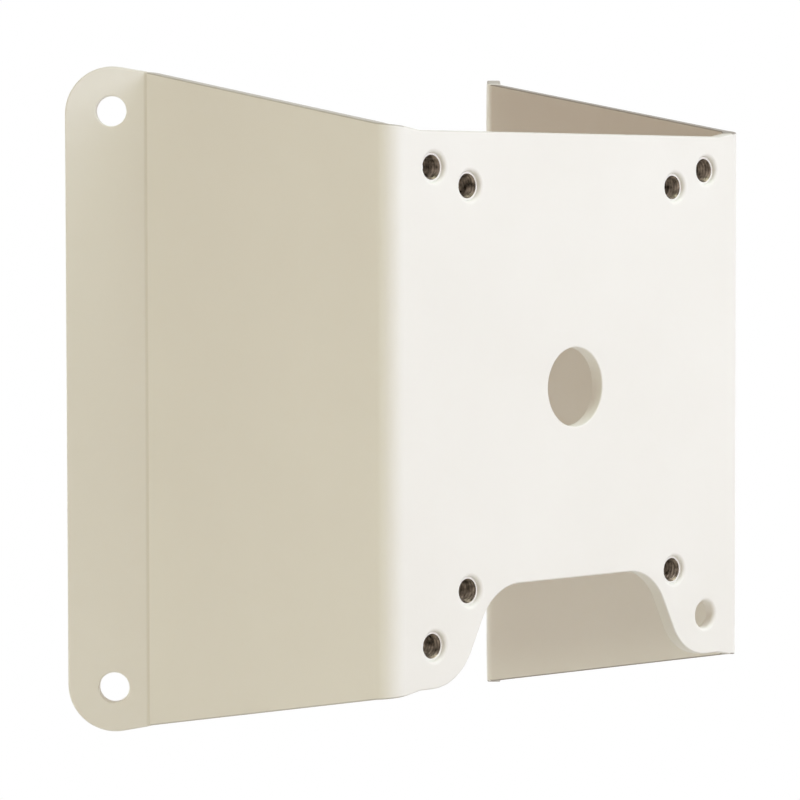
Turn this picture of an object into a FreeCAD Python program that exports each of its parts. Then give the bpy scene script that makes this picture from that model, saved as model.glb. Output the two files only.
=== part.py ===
import FreeCAD, Part
import itertools
import os
import re
import Sketcher

# Corner bracket that carries a dome camera's arm on the outside corner of a building.
# It is one folded sheet with seven threaded bushes pressed into its front plate.
# X runs along the front plate, +Y runs back towards the building and +Z is up.
# The origin is on the plate's front face, midway across and midway up.
# Lengths are in millimetres and angles in degrees.

driving = [
    ("sheetThickness", 5, "thickness of the folded sheet"),
    ("foldRadius", 2, "inside radius of every fold"),
    ("neutralShare", 0.44, "depth of the unstretched layer in a fold, as a share of the sheet"),
    ("bracketWidth", 177, "across the outer faces of the two webs"),
    ("plateHeight", 183, "front plate, bottom edge to top edge"),
    ("taperStart", 7, "where the sloping edge starts, inboard of the front fold"),
    ("edgeTaper", 9.8, "slope of the top and bottom edges, measured on the flat sheet"),
    ("webDepth", 120, "plate's front face to the corner between web and flange"),
    ("flangeAngle", 45, "turn from web to flange"),
    ("flangeWidth", 28, "corner between web and flange to the flange's edge"),
    ("flangeCorner", 16.5, "radius of the flange's two outer corners"),
    ("anchorHole", 10.5, "diameter of the wall anchor holes"),
    ("anchorInset", 12, "corner between web and flange to the anchor holes"),
    ("anchorRise", 8.5, "plate's top or bottom edge to the anchor holes beyond it"),
    ("cableHole", 27, "diameter of the cable hole"),
    ("cableHeight", 5.5, "cable hole above the middle of the plate"),
    ("earWidth", 18.1, "taper's start to the cable notch, before the ear is rounded"),
    ("notchHeight", 32, "cable notch, bottom edge of the plate to its top"),
    ("notchSlope", 62.5, "slope of the cable notch's sides above the level"),
    ("notchTopRadius", 20, "radius at the cable notch's two inner corners"),
    ("notchEarRadius", 20, "radius at the two ears beside the cable notch"),
    ("fixingHole", 9.6, "diameter of the eight fixing holes in the plate"),
    ("outerInset", 20.5, "outer face of a web to the outer fixing holes"),
    ("outerDrop", 12, "top edge of the plate to the outer fixing holes"),
    ("outerLift", 14, "bottom edge of the plate to the outer fixing holes"),
    ("innerInset", 16.75, "outer fixing holes to the inner ones, inboard"),
    ("innerDrop", 6, "upper outer fixing holes to the upper inner ones, down"),
    ("innerLift", 17, "lower outer fixing holes to the lower inner ones, up"),
    ("seatClearance", 0.05, "fixing hole's diameter over the bush's shank"),
    ("bushRecess", 1.5, "plate's front face to the front end of a bush"),
    ("bushBore", 6.8, "diameter inside the bush's thread"),
    ("bushMouth", 8.2, "diameter of the countersink at both ends of the thread"),
    ("bushHead", 14, "diameter of the bush's head behind the plate"),
    ("bushHeadHeight", 4.5, "height of the bush's head"),
    ("bushBevel", 0.4, "bevel round the back of the bush's head"),
    ("overrun", 5, "how far a cutting shape runs past the metal"),
]

# Places that follow from the sizes. A height is half of the sheet's whole height at that place.
derived = [
    ("foldOutside", "foldRadius + sheetThickness"),
    ("foldNeutral", "foldRadius + neutralShare * sheetThickness"),
    ("plateEdge", "bracketWidth / 2 - foldOutside"),
    ("taperRate", "tan(edgeTaper)"),
    ("heightPlate", "plateHeight / 2"),
    ("heightPlateEdge", "heightPlate + taperStart * taperRate"),
    ("heightWebFront", "heightPlateEdge + foldNeutral * pi / 2 * taperRate"),
    ("flangeStart", "foldRadius * tan(flangeAngle / 2)"),
    ("webBack", "webDepth - flangeStart"),
    ("heightWebBack", "heightWebFront + (webBack - foldOutside) * taperRate"),
    ("heightFlange", "heightWebBack + foldNeutral * pi * flangeAngle / 180 * taperRate"),
    ("heightFlangeEdge", "heightFlange + (flangeWidth - flangeStart) * taperRate"),
    ("anchorHeight", "heightPlate + anchorRise"),
    ("notchTop", "notchHeight - heightPlate"),
    ("notchFoot", "plateEdge - taperStart - earWidth"),
    ("notchHead", "notchFoot - notchHeight / tan(notchSlope)"),
    ("notchBelow", "notchFoot + overrun / tan(notchSlope)"),
    ("outerAcross", "bracketWidth / 2 - outerInset"),
    ("outerTop", "heightPlate - outerDrop"),
    ("outerBottom", "outerLift - heightPlate"),
    ("innerAcross", "outerAcross - innerInset"),
    ("innerTop", "outerTop - innerDrop"),
    ("innerBottom", "outerBottom + innerLift"),
    ("shankRadius", "(fixingHole - seatClearance) / 2"),
    ("bushBack", "sheetThickness + bushHeadHeight"),
    ("mouthDepth", "(bushMouth - bushBore) / 2"),
]
holders = {name: "Sizes" for name, _, _ in driving}
holders.update({name: "Places" for name, _ in derived})

# The fixing holes by rectangle, level and side, and the one that holds no bush.
fixings = list(itertools.product(("outer", "inner"), ("Top", "Bottom"), ("Left", "Right")))
plainHole = ("outer", "Bottom", "Right")

# An edge found by its place may lie this far off it and lean this much.
placeTolerance = 1e-4
leanTolerance = 1e-6

doc = FreeCAD.newDocument("CornerBracket")


def makeSizes():
    sheet = doc.addObject("Spreadsheet::Sheet", "Sizes")
    for row, (name, value, meaning) in enumerate(driving, start=1):
        sheet.set(f"A{row}", meaning)
        sheet.set(f"B{row}", str(value))
        sheet.setAlias(f"B{row}", name)
    doc.recompute()


def makePlaces():
    places = doc.addObject("App::VarSet", "Places")
    for name, text in derived:
        places.addProperty("App::PropertyFloat", name, "Places")
        places.setExpression(name, formula(text))
    doc.recompute()


def formula(text):
    # Puts the holder's name in front of each size or place that the text names.
    def held(word):
        name = word.group()
        return f"{holders[name]}.{name}" if name in holders else name

    return re.sub(r"[A-Za-z]+", held, text)


def originPlane(body, role):
    return next(item for item in body.Origin.OriginFeatures if item.Role == role)


def makeSketch(body, name, role, shift=("0", "0", "0"), turn=None):
    # The shift runs along the plane's own two axes and its normal, the turn about its upright axis.
    sketch = body.newObject("Sketcher::SketchObject", name)
    sketch.AttachmentSupport = [(originPlane(body, role), "")]
    sketch.MapMode = "FlatFace"
    if turn:
        upright = FreeCAD.Rotation(FreeCAD.Vector(0, 1, 0), 1)
        sketch.AttachmentOffset = FreeCAD.Placement(FreeCAD.Vector(), upright)
        sketch.setExpression("AttachmentOffset.Rotation.Angle", formula(turn))
    for axis, text in zip("xyz", shift):
        sketch.setExpression(f"AttachmentOffset.Base.{axis}", formula(text))
    return sketch


def holdPoint(sketch, geometry, end, across, up):
    for kind, text in (("DistanceX", across), ("DistanceY", up)):
        number = sketch.addConstraint(Sketcher.Constraint(kind, -1, 1, geometry, end, 1.0))
        sketch.setExpression(f"Constraints[{number}]", formula(text))


def addOutline(sketch, points):
    # A closed outline of straight lines. They start on a rough curve, and their ends are then held.
    count = len(points)
    rough = [FreeCAD.Vector(index, index * index, 0) for index in range(count)]
    for index in range(count):
        sketch.addGeometry(Part.LineSegment(rough[index], rough[(index + 1) % count]))
    for index in range(count):
        sketch.addConstraint(Sketcher.Constraint("Coincident", index, 2, (index + 1) % count, 1))
    for index, (across, up) in enumerate(points):
        holdPoint(sketch, index, 1, across, up)


def addCircle(sketch, across, up, diameter):
    circle = sketch.addGeometry(Part.Circle(FreeCAD.Vector(), FreeCAD.Vector(0, 0, 1), 1))
    holdPoint(sketch, circle, 3, across, up)
    number = sketch.addConstraint(Sketcher.Constraint("Diameter", circle, 2.0))
    sketch.setExpression(f"Constraints[{number}]", formula(diameter))


def bothSides(points):
    # The points and their mirror images across the upright axis.
    return points + [(f"-({across})", up) for across, up in reversed(points)]


def bothEnds(points):
    # The points and their mirror images across the level axis.
    return points + [(across, f"-({up})") for across, up in reversed(points)]


def addPad(body, name, sketch, length, backwards=False):
    pad = body.newObject("PartDesign::Pad", name)
    pad.Profile = sketch
    pad.setExpression("Length", formula(length))
    pad.Reversed = backwards
    doc.recompute()


def addFold(body, name, sketch, angle, backwards=False):
    # Turns the sheet's section about the sketch's own upright axis.
    fold = body.newObject("PartDesign::Revolution", name)
    fold.Profile = sketch
    fold.ReferenceAxis = (sketch, ["V_Axis"])
    fold.setExpression("Angle", formula(angle))
    fold.Reversed = backwards
    doc.recompute()


def addCut(body, kind, name, profile, settings, lengths=()):
    # Makes a feature that takes metal away, and stops if it takes none.
    before = body.Shape.Volume
    cut = body.newObject(f"PartDesign::{kind}", name)
    cut.Profile = profile
    for setting, value in settings.items():
        setattr(cut, setting, value)
    for setting, text in lengths:
        cut.setExpression(setting, formula(text))
    doc.recompute()
    taken = before - body.Shape.Volume
    if not taken > 0:
        raise RuntimeError(f"{name} cuts nothing")
    print(name, "takes away", round(taken, 1), "mm3")
    return cut


def addPocket(body, name, sketch):
    addCut(body, "Pocket", name, sketch, {"Type": "ThroughAll", "Midplane": True})


def addMirror(body, name, role, **settings):
    mirror = body.newObject("PartDesign::Mirrored", name)
    for setting, value in settings.items():
        setattr(mirror, setting, value)
    mirror.MirrorPlane = (originPlane(body, role), [""])
    body.Tip = mirror
    doc.recompute()


def addEdgeRamp(body, name, place, side, turns, low, high, leftHanded):
    # The sheet's edges are straight on the flat sheet, so round a fold they climb as a helix.
    # The cut trims the fold's top edge and is then mirrored to its bottom edge.
    section = makeSketch(body, f"{name}Section", *place)
    near, far = f"{side}foldRadius / 2", f"{side}foldOutside * 1.5"
    above = f"{low} + overrun"
    addOutline(section, [(near, low), (far, low), (far, above), (near, above)])
    settings = {
        "ReferenceAxis": (section, ["V_Axis"]),
        "Mode": "height-turns-angle",
        "LeftHanded": leftHanded,
    }
    ramp = addCut(body, "SubtractiveHelix", name, section, settings,
                  [("Height", f"{high} - {low}"), ("Turns", turns)])
    addMirror(body, f"{name}Below", "XY_Plane", Originals=[ramp])


def addRounding(body, name, places, direction, radius):
    # Rounds the straight edges that run along the direction through the given places.
    base = body.Tip
    found = []
    for number, edge in enumerate(base.Shape.Edges, start=1):
        if edge.Curve.TypeId != "Part::GeomLine":
            continue
        if edge.Curve.Direction.cross(direction).Length > leanTolerance:
            continue
        if min((edge.CenterOfMass - place).cross(direction).Length for place in places) < placeTolerance:
            found.append(f"Edge{number}")
    if len(found) != len(places):
        raise RuntimeError(f"{name} finds {len(found)} edges")
    rounding = body.newObject("PartDesign::Fillet", name)
    rounding.Base = (base, found)
    rounding.setExpression("Radius", formula(radius))
    doc.recompute()


def makePlate(body):
    outline = makeSketch(body, "PlateOutline", "XZ_Plane")
    quarter = [("plateEdge", "heightPlateEdge"), ("plateEdge - taperStart", "heightPlate")]
    addOutline(outline, bothEnds(bothSides(quarter)))
    addPad(body, "Plate", outline, "sheetThickness", backwards=True)


def makeFrontFold(body):
    # The quarter turn from plate to web. Its upright axis stands behind the plate.
    place = ("YZ_Plane", ("foldOutside", "0", "-plateEdge"))
    section = makeSketch(body, "FrontFoldSection", *place)
    addOutline(section, bothEnds([("-foldRadius", "heightWebFront"), ("-foldOutside", "heightWebFront")]))
    addFold(body, "FrontFold", section, "90", backwards=True)
    addEdgeRamp(body, "FrontFoldEdge", place, "-", "90 / 360", "heightPlateEdge", "heightWebFront", True)


def makeWeb(body):
    outline = makeSketch(body, "WebOutline", "YZ_Plane", ("0", "0", "-bracketWidth / 2"))
    addOutline(outline, bothEnds([("foldOutside", "heightWebFront"), ("webBack", "heightWebBack")]))
    addPad(body, "Web", outline, "sheetThickness")


def makeRearFold(body):
    # The turn from web to flange. Its upright axis stands outside the bracket.
    place = ("XZ_Plane", ("-bracketWidth / 2 - foldRadius", "0", "-webBack"))
    section = makeSketch(body, "RearFoldSection", *place)
    addOutline(section, bothEnds([("foldRadius", "heightFlange"), ("foldOutside", "heightFlange")]))
    addFold(body, "RearFold", section, "flangeAngle")
    addEdgeRamp(body, "RearFoldEdge", place, "", "flangeAngle / 360", "heightWebBack", "heightFlange", False)


def makeFlange(body):
    # The flange bolts to the wall. Its sketches lie on its outer face, measured from the corner.
    outerFace = ("XZ_Plane", ("-bracketWidth / 2", "0", "-webDepth"), "90 + flangeAngle")
    outline = makeSketch(body, "FlangeOutline", *outerFace)
    addOutline(outline, bothEnds([("flangeStart", "heightFlange"), ("flangeWidth", "heightFlangeEdge")]))
    addPad(body, "Flange", outline, "sheetThickness")
    width, height = doc.Sizes.flangeWidth, doc.Places.heightFlangeEdge
    outerCorners = [outline.Placement.multVec(FreeCAD.Vector(width, end * height, 0)) for end in (1, -1)]
    through = outline.Placement.Rotation.multVec(FreeCAD.Vector(0, 0, 1))
    addRounding(body, "FlangeCorners", outerCorners, through, "flangeCorner")
    circles = makeSketch(body, "AnchorCircles", *outerFace)
    for end in ("", "-"):
        addCircle(circles, "anchorInset", f"{end}anchorHeight", "anchorHole")
    addPocket(body, "AnchorHoles", circles)


def makeNotch(body):
    # The cable notch in the plate's bottom edge. Rounding turns each of its sides into an S.
    outline = makeSketch(body, "NotchOutline", "XZ_Plane")
    addOutline(outline, bothSides([("notchHead", "notchTop"), ("notchBelow", "-heightPlate - overrun")]))
    addPocket(body, "Notch", outline)
    through = FreeCAD.Vector(0, 1, 0)
    head = (doc.Places.notchHead, doc.Places.notchTop)
    foot = (doc.Places.notchFoot, -doc.Places.heightPlate)
    for name, (x, z), radius in (("NotchCorners", head, "notchTopRadius"), ("Ears", foot, "notchEarRadius")):
        addRounding(body, name, [FreeCAD.Vector(side * x, 0, z) for side in (-1, 1)], through, radius)


def fixingPlace(rectangle, level, side):
    # The formulas for a fixing hole's place across and up the plate.
    across = f"{rectangle}Across"
    return f"-{across}" if side == "Left" else across, rectangle + level


def makePlateHoles(body):
    cable = makeSketch(body, "CableCircle", "XZ_Plane")
    addCircle(cable, "0", "cableHeight", "cableHole")
    addPocket(body, "CableHole", cable)
    circles = makeSketch(body, "FixingCircles", "XZ_Plane")
    for fixing in fixings:
        addCircle(circles, *fixingPlace(*fixing), "fixingHole")
    addPocket(body, "FixingHoles", circles)


def makeBracket():
    body = doc.addObject("PartDesign::Body", "Bracket")
    body.Label = "folded_bracket"
    makePlate(body)
    makeFrontFold(body)
    makeWeb(body)
    makeRearFold(body)
    makeFlange(body)
    addMirror(body, "OtherSide", "YZ_Plane", TransformMode="Whole shape")
    makeNotch(body)
    makePlateHoles(body)
    return body


def makeBush():
    # One bush, turned about its own axis. Its shank fills the fixing hole up to the recess.
    body = doc.addObject("PartDesign::Body", "Bush")
    section = makeSketch(body, "BushSection", "XY_Plane")
    addOutline(section, [
        ("bushBore / 2", "bushRecess + mouthDepth"),
        ("bushMouth / 2", "bushRecess"),
        ("shankRadius", "bushRecess"),
        ("shankRadius", "sheetThickness"),
        ("bushHead / 2", "sheetThickness"),
        ("bushHead / 2", "bushBack - bushBevel"),
        ("bushHead / 2 - bushBevel", "bushBack"),
        ("bushMouth / 2", "bushBack"),
        ("bushBore / 2", "bushBack - mouthDepth"),
    ])
    addFold(body, "TurnedBush", section, "360")
    return body


def makeBushes(bush):
    # A copy of the bush in every fixing hole but the plain one, kept together as one piece.
    copies = []
    for fixing in fixings:
        if fixing == plainHole:
            continue
        copy = doc.addObject("App::Link", "".join(fixing) + "Bush")
        copy.LinkedObject = bush
        across, up = fixingPlace(*fixing)
        copy.setExpression("Placement.Base.x", formula(across))
        copy.setExpression("Placement.Base.z", formula(up))
        copies.append(copy)
    bushes = doc.addObject("Part::Compound", "Bushes")
    bushes.Label = "threaded_bushes"
    bushes.Links = copies
    doc.recompute()
    return bushes


def writeParts(pieces):
    faults = [item.Label for item in doc.Objects if {"Invalid", "Error"} & set(item.State)]
    faults += [piece.Label for piece in pieces if piece.Shape.isNull() or not piece.Shape.isValid()]
    if faults:
        raise RuntimeError("These did not come out whole: " + ", ".join(faults))
    os.makedirs("parts", exist_ok=True)
    for piece in pieces:
        piece.Shape.exportStep(f"parts/{piece.Label}.step")
        volumes = [round(solid.Volume / 1000, 2) for solid in piece.Shape.Solids]
        print(piece.Label, "holds", len(volumes), "solids of", volumes, "cm3")


makeSizes()
makePlaces()
writeParts([makeBracket(), makeBushes(makeBush())])
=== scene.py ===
import math
import bmesh
import bpy
from mathutils import Matrix, Vector
from mathutils.geometry import delaunay_2d_cdt


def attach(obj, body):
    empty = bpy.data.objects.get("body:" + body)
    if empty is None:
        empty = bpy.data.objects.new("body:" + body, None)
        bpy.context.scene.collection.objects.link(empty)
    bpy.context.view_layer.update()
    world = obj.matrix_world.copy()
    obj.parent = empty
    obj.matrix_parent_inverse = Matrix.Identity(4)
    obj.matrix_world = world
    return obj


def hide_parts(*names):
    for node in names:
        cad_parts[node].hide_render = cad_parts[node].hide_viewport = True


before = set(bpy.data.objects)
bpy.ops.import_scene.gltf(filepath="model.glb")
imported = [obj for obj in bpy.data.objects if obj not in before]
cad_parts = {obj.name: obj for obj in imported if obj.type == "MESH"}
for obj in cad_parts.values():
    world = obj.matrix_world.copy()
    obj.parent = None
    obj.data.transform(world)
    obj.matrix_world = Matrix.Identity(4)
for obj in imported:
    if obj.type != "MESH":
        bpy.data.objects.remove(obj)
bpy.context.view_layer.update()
print("frame loaded:", ", ".join(sorted(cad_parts)))

mm = 0.001    # the dictionaries below are in millimetres and degrees


def link(tree, source, target):
    tree.links.new(source, target)


def addNode(tree, kind, **settings):
    node = tree.nodes.new(kind)
    for name, value in settings.items():
        setattr(node, name, value)
    return node


def feed(tree, socket, value):
    # a link where the value is another node's socket, a plain value otherwise
    if isinstance(value, bpy.types.NodeSocket):
        link(tree, value, socket)
    else:
        socket.default_value = value


def reckon(tree, operation, *values):
    node = addNode(tree, "ShaderNodeMath", operation=operation)
    for socket, value in zip(node.inputs, values):
        feed(tree, socket, value)
    return node.outputs[0]


# The folded sheet, laid out flat: x along the sheet, y through it, z up.
sheet = {
    "thickness": 5.0,
    "foldRadius": 2.0,
    "neutralShare": 0.44,       # where the sheet neither stretches nor shrinks in a fold
    "width": 177.0,
    "height": 183.0,
    "taperStart": 7.0,
    "edgeTaper": 9.8,
    "webDepth": 120.0,
    "flangeAngle": 45.0,
    "flangeWidth": 28.0,
    "flangeCorner": 16.5,
    "earWidth": 18.1,
    "notchHeight": 32.0,
    "notchSlope": 62.5,
    "notchRadius": 20.0,
    "cableHole": (0.0, 5.5, 27.0),
    "anchorInset": 12.0,
    "anchorHeight": 100.0,
    "anchorHole": 10.5,
    "fixingHole": 9.6,
    "edgeRounding": 0.55,
    "fixingRounding": 1.45,     # the coat lies thick round the fixing holes' rims
    "roundingSteps": 3,
    "foldStep": 6.0,            # degrees between the cross lines in a fold
    "cornerStep": 5.0,          # and between the points round a corner
    "cableSides": 96,           # points round each kind of hole
    "anchorSides": 44,
    "fixingSides": 40,
    "flatWeight": 100,          # how far the large faces rule the shading at the rims
    # painted shade on the cut edges, darker than the coat: its weight on the plate, and on each
    # side's web and flange
    "plateEdgeShade": 0.22,
    "leftEdgeShade": (0.65, 0.15),
    "rightEdgeShade": (1.0, 0.75),
    "flangeShadeTurn": (30.0, 47.0),  # the painted shade grows as a flange's corner turns from its upright end
    "foldMargin": 1.0,          # the web's painted edge shade ends this far into the rear fold
}

# The eight fixing holes, across and up. The last one holds no bush.
fixings = [
    (-68.0, 79.5),
    (68.0, 79.5),
    (-68.0, -77.5),
    (-51.25, 73.5),
    (51.25, 73.5),
    (-51.25, -60.5),
    (51.25, -60.5),
    (68.0, -77.5),
]


def blankPlaces():
    # where the folds start and end along the flat sheet, measured from its middle
    t, r = sheet["thickness"], sheet["foldRadius"]
    neutral = r + sheet["neutralShare"] * t
    turn = math.radians(sheet["flangeAngle"])
    setback = r * math.tan(turn / 2)
    plateEdge = sheet["width"] / 2 - r - t
    webBack = sheet["webDepth"] - setback
    webStart = plateEdge + neutral * math.pi / 2
    webEnd = webStart + webBack - r - t
    flangeStart = webEnd + neutral * turn
    return {
        "neutral": neutral,
        "outside": r + t,
        "turn": turn,
        "plateEdge": plateEdge,
        "webStart": webStart,
        "webEnd": webEnd,
        "flangeStart": flangeStart,
        "flangeEdge": flangeStart + sheet["flangeWidth"] - setback,
        "anchor": flangeStart + sheet["anchorInset"] - setback,
    }


def roundedLoop(corners):
    # a closed outline; each corner is (across, up, radius), and a radius of 0 keeps it sharp
    loop = []
    count = len(corners)
    for index, (across, up, radius) in enumerate(corners):
        here = Vector((across, up))
        if not radius:
            loop.append(here)
            continue
        before = (Vector(corners[index - 1][:2]) - here).normalized()
        after = (Vector(corners[(index + 1) % count][:2]) - here).normalized()
        half = before.angle(after) / 2
        reach = radius / math.tan(half)
        centre = here + (before + after).normalized() * (radius / math.sin(half))
        start = here + before * reach - centre
        sweep = -start.angle_signed(here + after * reach - centre)
        steps = math.ceil(abs(math.degrees(sweep)) / sheet["cornerStep"])
        for step in range(steps + 1):
            spoke = start.copy()
            spoke.rotate(Matrix.Rotation(sweep * step / steps, 2))
            loop.append(centre + spoke)
    return loop


def roundHole(across, up, diameter, sides):
    centre = Vector((across, up))
    spokes = [2 * math.pi * side / sides for side in range(sides)]
    return [centre + Vector((math.cos(a), math.sin(a))) * (diameter / 2) for a in spokes]


def foldCrossLines(places):
    lines = []
    for start, end in (("plateEdge", "webStart"), ("webEnd", "flangeStart")):
        length = places[end] - places[start]
        steps = round(math.degrees(length / places["neutral"]) / sheet["foldStep"])
        lines += [places[start] + length * step / steps for step in range(steps + 1)]
    return lines


def blankOutline(places, crossLines):
    # one quarter from the notch to the flange's corner, then its mirror images
    taper = math.tan(math.radians(sheet["edgeTaper"]))
    halfPlate = sheet["height"] / 2
    taperAt = places["plateEdge"] - sheet["taperStart"]
    foot = taperAt - sheet["earWidth"]
    head = foot - sheet["notchHeight"] / math.tan(math.radians(sheet["notchSlope"]))

    def edgeHeight(across):
        return halfPlate + (across - taperAt) * taper

    slope = [(x, edgeHeight(x), 0) for x in crossLines]
    corner = (places["flangeEdge"], edgeHeight(places["flangeEdge"]), sheet["flangeCorner"])
    upper = [(taperAt, halfPlate, 0), *slope, corner]
    lower = [(head, halfPlate - sheet["notchHeight"], sheet["notchRadius"]),
             (foot, halfPlate, sheet["notchRadius"]), *upper]
    right = [(x, -z, r) for x, z, r in lower] + upper[::-1]
    return roundedLoop(right + [(-x, z, r) for x, z, r in reversed(right)])


def insetLoop(loop, distance, intoLoop):
    # every corner moved into the material, square to the two edges that meet there
    area = sum(a.cross(b) for a, b in zip(loop, loop[1:] + loop[:1]))
    side = 1 if (area > 0) == intoLoop else -1
    moved = []
    for index, corner in enumerate(loop):
        before = (corner - loop[index - 1]).normalized()
        after = (loop[(index + 1) % len(loop)] - corner).normalized()
        mitre = (before + after).orthogonal() * side / (1 + before.dot(after))
        moved.append(corner + mitre * distance)
    return moved


def rimSection(rounding):
    # (inset, depth) from the front face round the rim and down the wall to the back face
    steps = sheet["roundingSteps"]
    turns = [math.pi / 2 * step / steps for step in range(steps + 1)]
    rim = [(rounding * (1 - math.sin(turn)), rounding * (1 - math.cos(turn))) for turn in turns]
    return rim + [(inset, sheet["thickness"] - depth) for inset, depth in reversed(rim)]


def edgeShadeWeight(corner, inward, places):
    # the weight of the painted edge shade at a corner of the outline, where inward points into the
    # sheet
    across = abs(corner.x)
    web, flange = sheet["rightEdgeShade"] if corner.x > 0 else sheet["leftEdgeShade"]
    if across > places["flangeStart"]:
        start, full = sheet["flangeShadeTurn"]
        turned = math.degrees(math.atan2(abs(inward.y), abs(inward.x)))
        return flange * min(max((turned - start) / (full - start), 0.0), 1.0)
    if across > places["webEnd"] + sheet["foldMargin"]:
        return 0.0    # the rear fold gets no painted edge shade
    return web if across > places["plateEdge"] else sheet["plateEdgeShade"]


def makeBlank(places):
    crossLines = foldCrossLines(places)
    outline = blankOutline(places, crossLines)
    edge, fixing = sheet["edgeRounding"], sheet["fixingRounding"]
    loops = [(outline, edge), (roundHole(*sheet["cableHole"], sheet["cableSides"]), edge)]
    for x, z in fixings:
        loops.append((roundHole(x, z, sheet["fixingHole"], sheet["fixingSides"]), fixing))
    for x in (-places["anchor"], places["anchor"]):
        for z in (-sheet["anchorHeight"], sheet["anchorHeight"]):
            loops.append((roundHole(x, z, sheet["anchorHole"], sheet["anchorSides"]), edge))

    mesh = bmesh.new()
    # the outline's cut edges are marked for a painted shade in the coat
    paintedEdgeShade = mesh.verts.layers.float.new("paintedEdgeShade")
    flatPoints, flatLoops, frontVerts, backVerts = [], [], [], []
    for loop, rounding in loops:
        rings = []
        for inset, depth in rimSection(rounding):
            ring = insetLoop(loop, inset, loop is outline)
            spots = [(point.x * mm, depth * mm, point.y * mm) for point in ring]
            rings.append([mesh.verts.new(spot) for spot in spots])
        for ring, following in zip(rings, rings[1:]):
            for side in range(len(loop)):
                mesh.faces.new((ring[side - 1], ring[side], following[side], following[side - 1]))
        inner = insetLoop(loop, rounding, loop is outline)
        if loop is outline:
            for ring in rings[1:-1]:
                for vert, corner, within in zip(ring, loop, inner):
                    vert[paintedEdgeShade] = edgeShadeWeight(corner, within - corner, places)
        flatLoops.append(list(range(len(flatPoints), len(flatPoints) + len(loop))))
        flatPoints += inner
        frontVerts += rings[0]
        backVerts += rings[-1]

    # the front and back are divided along the folds' cross lines, between the loops
    onLine, merged = 1e-4, 1e-5    # mm, for points that lie on a line and points that are one
    meshFaces = 4    # the kind of division whose faces a mesh can hold
    cuts = []
    for x in crossLines:
        for side in (-x, x):
            cut = [i for i, point in enumerate(outline) if abs(point.x - side) < onLine]
            cuts.append(tuple(cut))
    _, _, faces, _, _, inside = delaunay_2d_cdt(flatPoints, cuts, flatLoops, meshFaces, merged)
    for face, within in zip(faces, inside):
        if within == [0]:    # a face inside a hole's loop as well as the outline stays out
            mesh.faces.new([frontVerts[index] for index in face])
            mesh.faces.new([backVerts[index] for index in reversed(face)])
    bmesh.ops.recalc_face_normals(mesh, faces=mesh.faces)
    for face in mesh.faces:
        face.smooth = True
    data = bpy.data.meshes.new("flatBlank")
    mesh.to_mesh(data)
    mesh.free()
    return data


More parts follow.
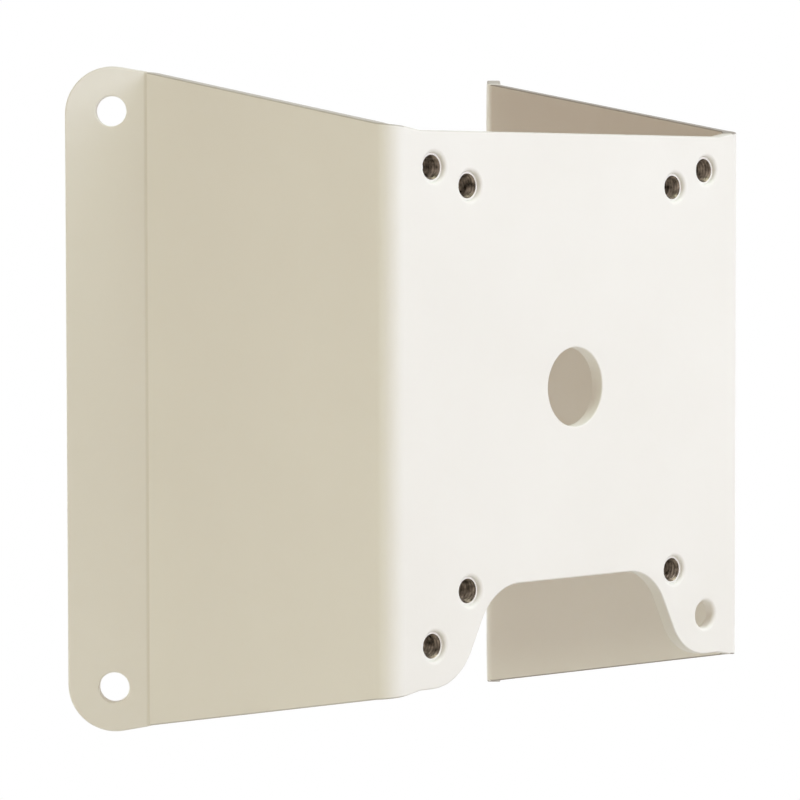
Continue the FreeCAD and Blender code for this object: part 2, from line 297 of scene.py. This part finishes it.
def foldTree():
    # bends the flat blank by the sheet's own rule, each point turned about its fold's axis
    tree = bpy.data.node_groups.new("foldSheet", "GeometryNodeTree")
    face = tree.interface
    names = ("Plate edge", "Web start", "Web end", "Flange start", "Fold radius",
             "Outside radius", "Neutral radius", "Flange turn")
    face.new_socket("Blank", in_out="INPUT", socket_type="NodeSocketGeometry")
    for name in names:
        face.new_socket(name, in_out="INPUT", socket_type="NodeSocketFloat")
    face.new_socket("Coat", in_out="INPUT", socket_type="NodeSocketMaterial")
    face.new_socket("Bracket", in_out="OUTPUT", socket_type="NodeSocketGeometry")
    given = addNode(tree, "NodeGroupInput")
    plateEdge, webStart, webEnd, flangeStart, radius, outside, neutral, turn = [
        given.outputs[name] for name in names]

    position = addNode(tree, "GeometryNodeInputPosition")
    split = addNode(tree, "ShaderNodeSeparateXYZ")
    link(tree, position.outputs[0], split.inputs[0])
    flatX, depth, up = split.outputs
    along = reckon(tree, "ABSOLUTE", flatX)

    def stretch(start, end):
        # how much of the run from start to end lies before this point
        clamped = reckon(tree, "MINIMUM", reckon(tree, "MAXIMUM", along, start), end)
        return reckon(tree, "SUBTRACT", clamped, start)

    frontTurn = reckon(tree, "DIVIDE", stretch(plateEdge, webStart), neutral)
    rearTurn = reckon(tree, "DIVIDE", stretch(webEnd, flangeStart), neutral)
    webRun = stretch(webStart, webEnd)
    flangeRun = reckon(tree, "MAXIMUM", reckon(tree, "SUBTRACT", along, flangeStart), 0.0)
    frontRadius = reckon(tree, "SUBTRACT", outside, depth)
    rearRadius = reckon(tree, "ADD", radius, depth)

    across = reckon(tree, "MINIMUM", along, plateEdge)
    across = reckon(tree, "MULTIPLY_ADD", frontRadius, reckon(tree, "SINE", frontTurn), across)
    bulge = reckon(tree, "SUBTRACT", 1.0, reckon(tree, "COSINE", rearTurn))
    across = reckon(tree, "MULTIPLY_ADD", rearRadius, bulge, across)
    across = reckon(tree, "MULTIPLY_ADD", flangeRun, reckon(tree, "SINE", rearTurn), across)
    across = reckon(tree, "MULTIPLY", across, reckon(tree, "SIGN", flatX))

    swing = reckon(tree, "MULTIPLY", frontRadius, reckon(tree, "COSINE", frontTurn))
    back = reckon(tree, "ADD", reckon(tree, "SUBTRACT", outside, swing), webRun)
    back = reckon(tree, "MULTIPLY_ADD", rearRadius, reckon(tree, "SINE", rearTurn), back)
    back = reckon(tree, "MULTIPLY_ADD", flangeRun, reckon(tree, "COSINE", rearTurn), back)

    join = addNode(tree, "ShaderNodeCombineXYZ")
    for socket, value in zip(join.inputs, (across, back, up)):
        link(tree, value, socket)

    # 1 in the hollow of the rear fold, for a painted crease shade, and 0 at the fold's ends
    toOne, hollowShare = 4.0, 0.5    # makes it 1 halfway round; it goes half a radius deep
    bent = reckon(tree, "DIVIDE", rearTurn, turn)
    unbent = reckon(tree, "SUBTRACT", 1.0, bent)
    hollow = reckon(tree, "MULTIPLY", unbent, reckon(tree, "MULTIPLY", bent, toOne))
    inward = reckon(tree, "LESS_THAN", depth, reckon(tree, "MULTIPLY", radius, hollowShare))
    storeCreaseShade = addNode(tree, "GeometryNodeStoreNamedAttribute", data_type="FLOAT", domain="POINT")
    storeCreaseShade.inputs["Name"].default_value = "foldCreaseShade"
    link(tree, given.outputs["Blank"], storeCreaseShade.inputs["Geometry"])
    link(tree, reckon(tree, "MULTIPLY", hollow, inward), storeCreaseShade.inputs["Value"])

    bend = addNode(tree, "GeometryNodeSetPosition")
    link(tree, storeCreaseShade.outputs[0], bend.inputs["Geometry"])
    link(tree, join.outputs[0], bend.inputs["Position"])
    realize = addNode(tree, "GeometryNodeRealizeInstances")
    link(tree, bend.outputs[0], realize.inputs[0])
    paint = addNode(tree, "GeometryNodeSetMaterial")
    link(tree, realize.outputs[0], paint.inputs["Geometry"])
    link(tree, given.outputs["Coat"], paint.inputs["Material"])
    result = addNode(tree, "NodeGroupOutput")
    link(tree, paint.outputs[0], result.inputs[0])
    return tree


def setInputs(modifier, values):
    for item in modifier.node_group.interface.items_tree:
        if item.in_out == "INPUT" and item.name in values:
            modifier[item.identifier] = values[item.name]


def frozen(source, name):
    # the evaluated shape as a plain mesh object at the origin
    bpy.context.view_layer.update()
    depsgraph = bpy.context.evaluated_depsgraph_get()
    data = bpy.data.meshes.new_from_object(source.evaluated_get(depsgraph))
    data.name = name
    bpy.data.objects.remove(source)
    piece = bpy.data.objects.new(name, data)
    bpy.context.scene.collection.objects.link(piece)
    return piece


def makeSheet(coat):
    places = blankPlaces()
    blank = bpy.data.objects.new("blank", makeBlank(places))
    bpy.context.scene.collection.objects.link(blank)
    fold = blank.modifiers.new("fold", "NODES")
    fold.node_group = foldTree()
    setInputs(fold, {
        "Plate edge": places["plateEdge"] * mm,
        "Web start": places["webStart"] * mm,
        "Web end": places["webEnd"] * mm,
        "Flange start": places["flangeStart"] * mm,
        "Fold radius": sheet["foldRadius"] * mm,
        "Outside radius": places["outside"] * mm,
        "Neutral radius": places["neutral"] * mm,
        "Flange turn": places["turn"],
        "Coat": coat,
    })
    normals = blank.modifiers.new("flatFaces", "WEIGHTED_NORMAL")
    normals.weight = sheet["flatWeight"]
    return frozen(blank, "foldedSheet")


bush = {
    "recess": 1.5,
    "shank": 9.55,
    "seat": 5.0,        # where the head meets the back of the plate
    "head": 14.0,
    "back": 9.5,
    "bevel": 0.5,       # round the head's back, and half as much at its seat
    "bevelSteps": 4,
    "mouth": 8.2,
    "bore": 6.8,
    "thread": 8.0,
    "pitch": 1.25,
    "land": 0.25,       # the thread's flat at the bore and each flank, as shares of the pitch
    "flank": 0.3125,
    "sides": 48,
    "rowsPerTurn": 10,
    "sharpAngle": 38.0,
    "seed": 4,
}


def threadRadius(angle, depth):
    # a right-hand, sixty-degree thread with narrow roots, opened by a cone at each end
    bore, root, mouth = bush["bore"] / 2, bush["thread"] / 2, bush["mouth"] / 2
    phase = (depth / bush["pitch"] + angle / (2 * math.pi)) % 1.0
    fromLand = abs(phase - 0.5) - bush["land"] / 2    # the land lies round the middle of a turn
    flank = min(max(fromLand / bush["flank"], 0.0), 1.0)
    cone = mouth - min(depth - bush["recess"], bush["back"] - depth)
    return max(bore + (root - bore) * flank, cone)


def makeBushMesh():
    # a ring of points per row: round the outside from the mouth to the back, then the thread
    front, back, seat, bevel = bush["recess"], bush["back"], bush["seat"], bush["bevel"]
    shank, head = bush["shank"] / 2, bush["head"] / 2
    outside = [(shank, front), (shank, seat), (head - bevel / 2, seat), (head, seat + bevel / 2)]
    for step in range(bush["bevelSteps"] + 1):
        fall = math.pi / 2 * step / bush["bevelSteps"]
        outside.append((head - bevel * (1 - math.cos(fall)), back - bevel * (1 - math.sin(fall))))
    rows = round((back - front) / bush["pitch"] * bush["rowsPerTurn"])
    depths = [back + (front - back) * row / rows for row in range(rows + 1)]
    angles = [2 * math.pi * side / bush["sides"] for side in range(bush["sides"])]

    rings = [[(radius, angle, depth) for angle in angles] for radius, depth in outside]
    rings += [[(threadRadius(angle, depth), angle, depth) for angle in angles] for depth in depths]
    mesh = bmesh.new()
    verts = []
    for ring in rings:
        spots = [(r * math.cos(a), y, r * math.sin(a)) for r, a, y in ring]
        verts.append([mesh.verts.new(Vector(spot) * mm) for spot in spots])
    bare = mesh.faces.layers.int.new("bare")    # the masked thread, which takes no coat
    for index, ring in enumerate(verts):
        following = verts[(index + 1) % len(verts)]
        for side in range(len(ring)):
            other = (side + 1) % len(ring)
            face = mesh.faces.new((ring[side], ring[other], following[other], following[side]))
            face[bare] = int(len(outside) < index + 1 < len(verts))
            face.smooth = True
    bmesh.ops.recalc_face_normals(mesh, faces=mesh.faces)
    data = bpy.data.meshes.new("bush")
    mesh.to_mesh(data)
    mesh.free()
    data.set_sharp_from_angle(angle=math.radians(bush["sharpAngle"]))
    return data


def bushTree():
    # one bush on each point, each pressed in at its own turn
    tree = bpy.data.node_groups.new("pressBushes", "GeometryNodeTree")
    face = tree.interface
    face.new_socket("Places", in_out="INPUT", socket_type="NodeSocketGeometry")
    face.new_socket("Bush", in_out="INPUT", socket_type="NodeSocketObject")
    face.new_socket("Seed", in_out="INPUT", socket_type="NodeSocketInt")
    face.new_socket("Coat", in_out="INPUT", socket_type="NodeSocketMaterial")
    face.new_socket("Steel", in_out="INPUT", socket_type="NodeSocketMaterial")
    face.new_socket("Bushes", in_out="OUTPUT", socket_type="NodeSocketGeometry")
    given = addNode(tree, "NodeGroupInput")
    shape = addNode(tree, "GeometryNodeObjectInfo")
    link(tree, given.outputs["Bush"], shape.inputs["Object"])
    turn = addNode(tree, "FunctionNodeRandomValue", data_type="FLOAT_VECTOR")
    turn.inputs["Max"].default_value = (0, 2 * math.pi, 0)
    link(tree, given.outputs["Seed"], turn.inputs["Seed"])
    press = addNode(tree, "GeometryNodeInstanceOnPoints")
    link(tree, given.outputs["Places"], press.inputs["Points"])
    link(tree, shape.outputs["Geometry"], press.inputs["Instance"])
    link(tree, turn.outputs["Value"], press.inputs["Rotation"])
    realize = addNode(tree, "GeometryNodeRealizeInstances")
    link(tree, press.outputs[0], realize.inputs[0])
    paint = addNode(tree, "GeometryNodeSetMaterial")
    link(tree, realize.outputs[0], paint.inputs["Geometry"])
    link(tree, given.outputs["Coat"], paint.inputs["Material"])
    masked = addNode(tree, "GeometryNodeInputNamedAttribute", data_type="INT")
    masked.inputs["Name"].default_value = "bare"
    strip = addNode(tree, "GeometryNodeSetMaterial")
    link(tree, paint.outputs[0], strip.inputs["Geometry"])
    link(tree, masked.outputs["Attribute"], strip.inputs["Selection"])
    link(tree, given.outputs["Steel"], strip.inputs["Material"])
    result = addNode(tree, "NodeGroupOutput")
    link(tree, strip.outputs[0], result.inputs[0])
    return tree


def makeBushes(coat, steel):
    single = bpy.data.objects.new("singleBush", makeBushMesh())
    bpy.context.scene.collection.objects.link(single)
    points = bpy.data.meshes.new("bushPlaces")
    points.from_pydata([(x * mm, 0, z * mm) for x, z in fixings[:-1]], [], [])
    places = bpy.data.objects.new("bushPlaces", points)
    bpy.context.scene.collection.objects.link(places)
    press = places.modifiers.new("press", "NODES")
    press.node_group = bushTree()
    setInputs(press, {"Bush": single, "Seed": bush["seed"], "Coat": coat, "Steel": steel})
    piece = frozen(places, "threadedBushes")
    bpy.data.objects.remove(single)
    return piece


# The grain group's own values, with sizes in metres, and how finely its noises are broken up.
grainDefaults = {"Grain size": 0.0015, "Patch size": 0.05, "Sharpness": 0.5}
grainDetail, patchDetail = 2.0, 4.0


def grainGroup():
    # fine unevenness of a finish: a height for the bump and a slow mask for tone and gloss
    tree = bpy.data.node_groups.new("surfaceGrain", "ShaderNodeTree")
    face = tree.interface
    for name, default in grainDefaults.items():
        socket = face.new_socket(name, in_out="INPUT", socket_type="NodeSocketFloat")
        socket.default_value = default
    face.new_socket("Height", in_out="OUTPUT", socket_type="NodeSocketFloat")
    face.new_socket("Patches", in_out="OUTPUT", socket_type="NodeSocketFloat")
    given = addNode(tree, "NodeGroupInput")
    result = addNode(tree, "NodeGroupOutput")
    place = addNode(tree, "ShaderNodeTexCoord")
    for size, detail, output in (("Grain size", grainDetail, "Height"),
                                 ("Patch size", patchDetail, "Patches")):
        noise = addNode(tree, "ShaderNodeTexNoise")
        noise.inputs["Detail"].default_value = detail
        link(tree, place.outputs["Object"], noise.inputs["Vector"])
        link(tree, reckon(tree, "DIVIDE", 1.0, given.outputs[size]), noise.inputs["Scale"])
        link(tree, given.outputs["Sharpness"], noise.inputs["Roughness"])
        link(tree, noise.outputs["Fac"], result.inputs[output])
    return tree


def newMaterial(name):
    material = bpy.data.materials.new(name)
    material.use_nodes = True
    tree = material.node_tree
    return material, tree, tree.nodes["Principled BSDF"]


def blendColours(tree, mask, low, high):
    mix = addNode(tree, "ShaderNodeMix", data_type="RGBA")
    feed(tree, mix.inputs["Factor"], mask)
    for name, colour in (("A", low), ("B", high)):
        feed(tree, mix.inputs[name], (*colour, 1) if isinstance(colour, tuple) else colour)
    return mix.outputs["Result"]


noiseRange = (0.3, 0.7)    # where most of a noise's values lie


def remap(tree, value, before, after):
    # the range before is spread over the range after, and held at its ends
    node = addNode(tree, "ShaderNodeMapRange")
    link(tree, value, node.inputs["Value"])
    for name, number in zip(("From Min", "From Max", "To Min", "To Max"), (*before, *after)):
        node.inputs[name].default_value = number
    return node.outputs["Result"]


def addGrain(tree, shader, grain, finish):
    # the grain's bump and gloss on the shader, and its patches for the colour
    unevenness = addNode(tree, "ShaderNodeGroup", node_tree=grain)
    unevenness.inputs["Grain size"].default_value = finish["grainSize"] * mm
    unevenness.inputs["Patch size"].default_value = finish["patchSize"] * mm
    patches = unevenness.outputs["Patches"]
    link(tree, remap(tree, patches, noiseRange, finish["roughness"]), shader.inputs["Roughness"])
    bump = addNode(tree, "ShaderNodeBump")
    bump.inputs["Strength"].default_value = finish["bumpStrength"]
    bump.inputs["Distance"].default_value = finish["bumpDepth"] * mm
    link(tree, unevenness.outputs["Height"], bump.inputs["Height"])
    link(tree, bump.outputs["Normal"], shader.inputs["Normal"])
    mask = remap(tree, patches, noiseRange, (0, 1))
    return blendColours(tree, mask, finish["dark"], finish["light"])


powder = {
    "dark": (0.838, 0.812, 0.780),
    "light": (0.862, 0.838, 0.810),
    "paintedEdgeShade": (0.290, 0.252, 0.222),       # painted shade along the cut edges
    "foldCreaseShade": (0.700, 0.660, 0.610),    # painted shade in the rear folds' crease
    "roughness": (0.44, 0.52),
    "grainSize": 1.6,
    "patchSize": 60.0,
    "bumpStrength": 0.35,
    "bumpDepth": 0.06,
}


def makeCoat(grain):
    material, tree, shader = newMaterial("powderCoat")
    tone = addGrain(tree, shader, grain, powder)
    # painted shade is blended into the coat's colour: along the cut edges, and in the rear folds'
    # crease
    for name in ("paintedEdgeShade", "foldCreaseShade"):
        mark = addNode(tree, "ShaderNodeAttribute", attribute_name=name)
        tone = blendColours(tree, mark.outputs["Fac"], tone, powder[name])
    link(tree, tone, shader.inputs["Base Color"])
    return material


bareSteel = {
    "dark": (0.026, 0.018, 0.011),
    "light": (0.330, 0.262, 0.200),
    "roughness": (0.50, 0.32),
    "grainSize": 0.4,
    "patchSize": 2.5,
    "bumpStrength": 0.4,
    "bumpDepth": 0.03,
}


def makeSteel(grain):
    material, tree, shader = newMaterial("bareSteel")
    link(tree, addGrain(tree, shader, grain, bareSteel), shader.inputs["Base Color"])
    shader.inputs["Metallic"].default_value = 1.0
    return material


# The studio's own values are in metres and watts.
studio = {
    "ambient": (0.345, 0.238, 0.155),
    "floorHeight": -0.25,
    "floorSize": 12.0,
    "shadowPool": (0.25, 0.62),     # the floor shows its shade inside this fading ring
    "poolWhite": 0.55,              # and this much of it stays white
    "floorTone": (0.86, 0.85, 0.83),
    "floorRoughness": 0.8,
}


def rayMask(tree):
    # 1 for what the camera sees, straight or in a gloss or glass, and 0 for light
    rays = addNode(tree, "ShaderNodeLightPath")
    seen = reckon(tree, "MAXIMUM", rays.outputs["Is Camera Ray"], rays.outputs["Is Glossy Ray"])
    return reckon(tree, "MAXIMUM", seen, rays.outputs["Is Transmission Ray"])


def makeWorld():
    world = bpy.data.worlds.new("studio")
    bpy.context.scene.world = world
    world.use_nodes = True
    tree = world.node_tree
    colour = blendColours(tree, rayMask(tree), studio["ambient"], (1, 1, 1))
    link(tree, colour, tree.nodes["Background"].inputs["Color"])


def makeFloor():
    half = studio["floorSize"] / 2
    square = ((-half, -half), (half, -half), (half, half), (-half, half))
    mesh = bpy.data.meshes.new("floor")
    mesh.from_pydata([(x, y, studio["floorHeight"]) for x, y in square], [], [(0, 1, 2, 3)])
    floor = bpy.data.objects.new("floor", mesh)
    bpy.context.scene.collection.objects.link(floor)
    material, tree, shader = newMaterial("paleFloor")
    shader.inputs["Base Color"].default_value = (*studio["floorTone"], 1)
    shader.inputs["Roughness"].default_value = studio["floorRoughness"]
    place = addNode(tree, "ShaderNodeTexCoord")
    flat = addNode(tree, "ShaderNodeVectorMath", operation="MULTIPLY")
    flat.inputs[1].default_value = (1, 1, 0)    # drops the height
    link(tree, place.outputs["Object"], flat.inputs[0])
    reach = addNode(tree, "ShaderNodeVectorMath", operation="LENGTH")
    link(tree, flat.outputs[0], reach.inputs[0])
    fade = addNode(tree, "ShaderNodeMapRange", interpolation_type="SMOOTHSTEP")
    near, far = studio["shadowPool"]
    for name, number in (("From Min", near), ("From Max", far), ("To Min", studio["poolWhite"])):
        fade.inputs[name].default_value = number
    link(tree, reach.outputs["Value"], fade.inputs["Value"])
    white = addNode(tree, "ShaderNodeEmission")
    mix = addNode(tree, "ShaderNodeMixShader")
    link(tree, reckon(tree, "MULTIPLY", rayMask(tree), fade.outputs["Result"]), mix.inputs["Fac"])
    link(tree, shader.outputs[0], mix.inputs[1])
    link(tree, white.outputs[0], mix.inputs[2])
    link(tree, mix.outputs[0], tree.nodes["Material Output"].inputs["Surface"])
    mesh.materials.append(material)


# name: (place, width and height, watts, colour), all aimed at the bracket's middle
lamps = {
    "front": ((0.739, -2.031, 0.787), (1.0, 1.0), 28.0, (0.755, 0.835, 1.0)),
    "top": ((0.269, -0.739, 2.161), (1.0, 1.0), 26.1, (0.814, 1.0, 0.90)),
    "low": ((-2.265, 0.03, -0.07), (1.0, 0.34), 11.0, (0.88, 1.0, 0.83)),
    "back": ((0.0, 2.3, 0.1), (1.6, 1.6), 12.0, (0.90, 1.0, 0.85)),
}
lampAim = (0.0, 0.03, 0.0)


def makeLamps():
    for name, (place, size, watts, colour) in lamps.items():
        lamp = bpy.data.lights.new(name, "AREA")
        lamp.shape = "RECTANGLE"
        lamp.size, lamp.size_y = size
        lamp.energy = watts
        lamp.color = colour
        stand = bpy.data.objects.new(name, lamp)
        stand.location = place
        stand.rotation_euler = (Vector(lampAim) - Vector(place)).to_track_quat("-Z", "Y").to_euler()
        bpy.context.scene.collection.objects.link(stand)


# The camera stands where the photograph was taken from.
camera = {
    "place": (-912.3231, -838.8370, 62.6786),
    "yaw": 44.6406,
    "pitch": 2.8458,
    "roll": -0.0920,
    "lens": 163.9866,
    "sensor": 36.0,
}


def makeCamera():
    yaw, pitch, roll = [math.radians(camera[name]) for name in ("yaw", "pitch", "roll")]
    level = Vector((math.sin(yaw), math.cos(yaw), 0)) * math.cos(pitch)
    ahead = level - Vector((0, 0, math.sin(pitch)))
    right = Vector((math.cos(yaw), -math.sin(yaw), 0))
    up = right.cross(ahead)
    tiltedRight = right * math.cos(roll) + up * math.sin(roll)
    tiltedUp = up * math.cos(roll) - right * math.sin(roll)
    turned = Matrix((tiltedRight, tiltedUp, -ahead)).transposed().to_4x4()
    data = bpy.data.cameras.new("camera")
    data.lens = camera["lens"]
    data.sensor_width = camera["sensor"]
    stand = bpy.data.objects.new("camera", data)
    stand.matrix_world = Matrix.Translation(Vector(camera["place"]) * mm) @ turned
    bpy.context.scene.collection.objects.link(stand)
    bpy.context.scene.camera = stand


grain = grainGroup()
coat = makeCoat(grain)
steel = makeSteel(grain)
print("finishes mixed")

foldedSheet = makeSheet(coat)
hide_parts("folded_bracket")
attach(foldedSheet, "root")
print("sheet folded:", len(foldedSheet.data.polygons), "faces")

threadedBushes = makeBushes(coat, steel)
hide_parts("threaded_bushes")
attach(threadedBushes, "root")
print("bushes pressed in:", len(threadedBushes.data.polygons), "faces")

makeWorld()
makeFloor()
makeLamps()
makeCamera()
bpy.context.scene.view_settings.view_transform = "Standard"
print("studio set")
